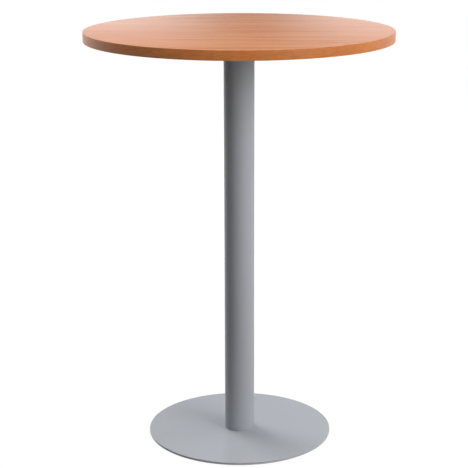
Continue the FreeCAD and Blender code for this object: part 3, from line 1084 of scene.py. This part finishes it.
# %% Particle board
CHIP_PALE = (0.66, 0.47, 0.28)
CHIP_DARK = (0.40, 0.25, 0.13)
CHIPS_COUNT = (330, 330, 700)
CHIPS_DEPTH = 0.0002
BOARD_ROUGH = 0.85
BOARD_IOR = 1.45


def make_particle_board():
    """Pressed wood chips."""
    finish = new_finish("particle_board", Roughness=BOARD_ROUGH, IOR=BOARD_IOR)
    chips = add_node(finish, "ShaderNodeTexVoronoi", Scale=1.0, Randomness=1.0)
    join(finish, on_piece(finish, CHIPS_COUNT), chips.inputs["Vector"])
    tone = add_node(finish, "ShaderNodeSeparateXYZ")
    join(finish, chips.outputs["Color"], tone.inputs["Vector"])
    feed(finish, "Base Color", blend(finish, tone.outputs["X"], CHIP_PALE, CHIP_DARK))
    feed(finish, "Normal", bump(finish, chips.outputs["Distance"], CHIPS_DEPTH))
    return finish


keep("particle_board", make_particle_board())

# %% [markdown]
# ## Dressing the pieces
#
# A CAD node comes with one material named after its slot, and a new piece says its slot itself. Either way
# the slot's name finds the finish, so no piece can be forgotten. Only the sheet under the board and the
# base differ from the rest of their slots, and they are told apart by name.

# %% Dress every piece


def dress(piece):
    """Puts the finish of the piece's slot on it, or its own where it has one."""
    if "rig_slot" in piece:
        slot = piece["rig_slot"]
    else:
        slot = piece.data.materials[0].name.split(".")[0]
    piece.data.materials.clear()
    piece.data.materials.append(FINISHES.get(piece.name, FINISHES[slot]))


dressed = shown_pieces()
for piece in dressed:
    dress(piece)
print("dressed pieces:", len(dressed))

# %% [markdown]
# ## The floor's finish
#
# The table stands on a wide pale floor. To the camera, and in the reflections on the table, the floor is
# white. Part of that white is a faint grey surface that the lamps light, so the table's shadow still shows
# on it, and near the table its own glow is turned down a little for the same reason. For the light that
# bounces off it onto the table it is a plain grey, so that the underside of the top isn't lit too much. Its
# back is clear, so that the table can also be looked at from below.

# %% Floor: its finish
FLOOR_BOUNCE = (0.15, 0.15, 0.15, 1)
FLOOR_SHADE = (0.1, 0.1, 0.1, 1)
NEAR = 0.5
NEAR_GLOW = 0.92
FAR = 1.8
FAR_GLOW = 1.0


def floor_glow(finish):
    """A white glow, a little weaker near the table."""
    source = add_node(finish, "ShaderNodeTexCoord")
    distance = add_node(finish, "ShaderNodeVectorMath")
    distance.operation = "LENGTH"
    join(finish, source.outputs["Object"], distance.inputs[0])
    white = add_node(finish, "ShaderNodeEmission")
    strength = remap(finish, distance.outputs["Value"], NEAR, FAR, NEAR_GLOW, FAR_GLOW)
    join(finish, strength, white.inputs["Strength"])
    return white.outputs["Emission"]


def make_floor_finish():
    """White to the eye and in reflections, grey as a source of light, clear from below."""
    finish = bpy.data.materials.new("floor")
    finish.use_nodes = True
    finish.node_tree.nodes.clear()
    bounce = add_node(finish, "ShaderNodeBsdfDiffuse", Color=FLOOR_BOUNCE)
    shade = add_node(finish, "ShaderNodeBsdfDiffuse", Color=FLOOR_SHADE)
    seen = add_node(finish, "ShaderNodeAddShader")
    join(finish, shade.outputs["BSDF"], seen.inputs[0])
    join(finish, floor_glow(finish), seen.inputs[1])
    ray = add_node(finish, "ShaderNodeLightPath")
    looked_at = total(finish, ray.outputs["Is Camera Ray"], ray.outputs["Is Glossy Ray"], "MAXIMUM")
    looked_at = total(finish, looked_at, ray.outputs["Is Transmission Ray"], "MAXIMUM")
    front = mix_shaders(finish, looked_at, bounce.outputs["BSDF"], seen.outputs["Shader"])
    back = add_node(finish, "ShaderNodeBsdfTransparent")
    geometry = add_node(finish, "ShaderNodeNewGeometry")
    sides = mix_shaders(finish, geometry.outputs["Backfacing"], front, back.outputs["BSDF"])
    output = add_node(finish, "ShaderNodeOutputMaterial")
    join(finish, sides, output.inputs["Surface"])
    return finish


floor_finish = make_floor_finish()
print("floor finish:", len(floor_finish.node_tree.nodes), "nodes")

# %% [markdown]
# ## Laying the floor
#
# The floor is one large face at the level of the glides. A backdrop could curve up from it behind the
# table, but the room is as white as the floor, so its far edge can't be seen.

# %% Floor
FLOOR_SIZE = 120.0


def make_floor():
    """A wide plane under the glides."""
    clear_selection()
    bpy.ops.mesh.primitive_plane_add(size=FLOOR_SIZE, location=(0, 0, 0))
    floor = bpy.context.object
    floor.name = "floor"
    floor.data.materials.append(floor_finish)


make_floor()
print("floor:", FLOOR_SIZE, "m wide")

# %% [markdown]
# ## The lamps
#
# Two groups of soft boxes do most of the work: one in front on the right, and one low behind on the left.
# Each group throws a soft shadow of the column across the base, and its lamps stand at several heights, so
# that the shadow is soft upwards too. A weaker lamp stands at the right, and small ones hang over the table
# for the top. An area lamp spreads its power over its face, so a larger lamp gives softer shadows and not
# more light. The lamps are kept out of reflections, because the satin top would mirror their faces as white
# patches from some sides, and the room's wall does that work more evenly. Every lamp is one row of a table,
# which is easier to tune than separate calls.

# %% Lamps
AIM = Vector((0, 0, 0.6))


def add_soft_box(name, turn, height, distance, width, tall, power):
    """An area lamp aimed at the table. A turn of 0 is in front of it and 90 is on the right."""
    data = bpy.data.lights.new(name, "AREA")
    data.shape = "RECTANGLE"
    data.size = width
    data.size_y = tall
    data.energy = power
    lamp = bpy.data.objects.new(name, data)
    lamp.visible_glossy = False
    bpy.context.scene.collection.objects.link(lamp)
    turn = math.radians(turn)
    height = math.radians(height)
    direction = Vector((
        math.sin(turn) * math.cos(height), -math.cos(turn) * math.cos(height), math.sin(height)))
    lamp.location = AIM + direction * distance
    lamp.rotation_mode = "QUATERNION"
    lamp.rotation_quaternion = direction.to_track_quat("Z", "Y")


# Each row: name, turn and height in degrees, distance, width and height of its face in metres, watts.
LAMPS = (
    ("key_box", 49, 22, 4.5, 5.0, 3.0, 88),
    ("key_low_box", 50, 15, 4.5, 2.0, 2.0, 50),
    ("key_high_box", 62, 40, 4.5, 2.0, 2.0, 19),
    ("right_box", 105, 20, 4.5, 2.0, 2.0, 24),
    ("back_wide_box", -140, 25, 4.5, 5.0, 3.0, 90),
    ("back_box", -138, 17, 4.5, 3.0, 2.4, 57),
    ("back_low_box", -155, 15, 4.5, 2.0, 2.0, 38),
    ("back_high_box", -140, 35, 4.5, 2.0, 2.0, 40),
    ("over_right_box", 105, 65, 2.2, 1.4, 1.4, 14.8),
    ("over_left_box", -70, 60, 1.5, 0.6, 0.6, 2.4),
    ("over_middle_box", 0, 75, 1.6, 0.8, 0.8, 2.6),
    ("over_front_box", 0, 50, 1.3, 0.5, 0.5, 1.0),
)

for lamp in LAMPS:
    add_soft_box(*lamp)
print("lamps:", len(LAMPS))

# %% [markdown]
# ## The wall in the reflections
#
# In reflections the room is a studio wall: brightest near the floor, where the lamps shine on it, fading
# upwards, and lit again under the ceiling, with a blue-grey panel far behind the table. The satin top is
# seen so flatly that it mirrors that wall, and the panel shows in it as the darker patch in the middle. Real
# panels could stand round the table, but they would also catch the lamps and throw shadows. The direction
# of a reflected ray says which part of the wall it meets, so a few nodes on that direction do the same.

# %% Room: the wall
WALL_GLOW = 1.0
WALL_TOP = 0.04
WALL_LIT = 0.5
WALL_COLOUR = (0.985, 1.0, 1.035)
LIT_RISE = math.radians(14), math.radians(20)
GLOW_FALL = math.radians(6), math.radians(7.6)
PANEL_COLOUR = (0.82, 1.0, 1.12)
PANEL_TURN = math.radians(0.5)
PANEL_WIDTH = math.radians(2.3)
PANEL_DEPTH = 0.835
PANEL_FOOT = math.radians(1)
BELL = -0.5


def panel_bell(world, turn):
    """How much of the panel there is in a direction: 1 in its middle, fading to both sides."""
    off = total(world, total(world, turn, PANEL_TURN, "SUBTRACT"), PANEL_WIDTH, "DIVIDE")
    squared = total(world, off, off, "MULTIPLY")
    return total(world, total(world, squared, BELL, "MULTIPLY"), 0.0, "EXPONENT")


def wall_look(world):
    """The wall's colour and brightness in a direction: its lit foot less the panel, and its lit top."""
    source = add_node(world, "ShaderNodeTexCoord")
    split = add_node(world, "ShaderNodeSeparateXYZ")
    join(world, source.outputs["Generated"], split.inputs["Vector"])
    rise = total(world, split.outputs["Z"], 0.0, "ARCSINE")
    turn = total(world, split.outputs["X"], split.outputs["Y"], "ARCTAN2")
    glow = remap(world, rise, *GLOW_FALL, WALL_GLOW, 0)
    bell = panel_bell(world, turn)
    depth = remap(world, rise, 0, PANEL_FOOT, 0, PANEL_DEPTH)
    left = total(world, 1.0, total(world, bell, depth, "MULTIPLY"), "SUBTRACT")
    above = remap(world, rise, *LIT_RISE, WALL_TOP, WALL_TOP + WALL_LIT)
    colour = blend(world, bell, WALL_COLOUR, PANEL_COLOUR)
    return colour, total(world, total(world, glow, left, "MULTIPLY"), above)


print("the panel fades over about", round(math.degrees(PANEL_WIDTH), 1), "degrees")

# %% [markdown]
# ## The room
#
# The camera sees a white room, and so would light that has passed through glass. As a light, the room is
# nearly dark, because the lamps do that work and a bright room would wash their shadows out. The Light Path
# node tells these kinds of ray apart, so one world can be all three: white, a studio wall, or dim.

# %% Room
ROOM_LIGHT = 0.04
WHITE = (1, 1, 1, 1)


def make_room():
    """White to the eye, a studio wall in reflections, and dim as a light."""
    world = bpy.data.worlds.new("room")
    bpy.context.scene.world = world
    world.use_nodes = True
    world.node_tree.nodes.clear()
    lit = add_node(world, "ShaderNodeBackground", Color=WHITE, Strength=ROOM_LIGHT)
    white = add_node(world, "ShaderNodeBackground", Color=WHITE, Strength=1.0)
    wall = add_node(world, "ShaderNodeBackground")
    colour, brightness = wall_look(world)
    join(world, colour, wall.inputs["Color"])
    join(world, brightness, wall.inputs["Strength"])
    ray = add_node(world, "ShaderNodeLightPath")
    mirrored = mix_shaders(
        world, ray.outputs["Is Glossy Ray"], lit.outputs["Background"], wall.outputs["Background"])
    looked_at = total(
        world, ray.outputs["Is Camera Ray"], ray.outputs["Is Transmission Ray"], "MAXIMUM")
    seen = mix_shaders(world, looked_at, mirrored, white.outputs["Background"])
    output = add_node(world, "ShaderNodeOutputWorld")
    join(world, seen, output.inputs["Surface"])


make_room()
print("room light:", ROOM_LIGHT, "wall glow:", WALL_GLOW)

# %% [markdown]
# ## Colours
#
# The Standard view shows colours as they were chosen.

# %% View
bpy.context.scene.view_settings.view_transform = "Standard"
